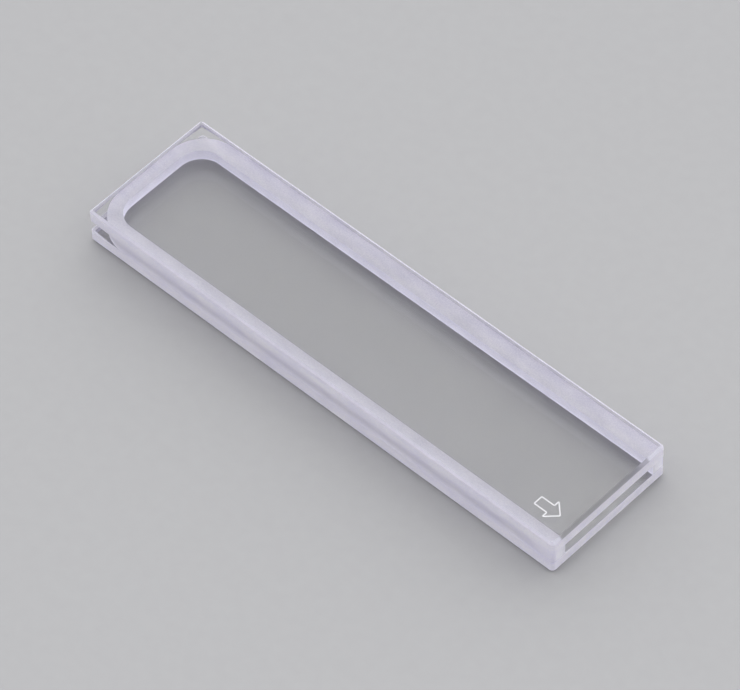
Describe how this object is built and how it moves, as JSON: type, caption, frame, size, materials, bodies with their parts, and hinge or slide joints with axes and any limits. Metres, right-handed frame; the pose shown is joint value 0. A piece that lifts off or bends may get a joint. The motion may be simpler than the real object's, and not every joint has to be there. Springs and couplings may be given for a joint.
{
  "type": "cuvette",
  "caption": "Flat spectroscopy cell: clear polished windows fused to a frosted U-shaped spacer, open at one end, holding a thin film of liquid in a light beam.",
  "frame": {"origin": "centre of the cell's outline, on the surface that it lies on", "axes": "+X from the closed end to the mouth, +Y across the windows, +Z along the light path, out of the upper window"},
  "size_m": [0.048, 0.0126, 0.0035],
  "materials": {
    "polished_quartz": "polished",
    "frosted_quartz": "frosted"
  },
  "bodies": {
    "root": {"lower_window": "polished_quartz", "spacer": "frosted_quartz", "upper_window": "polished_quartz"}
  },
  "joints": []
}
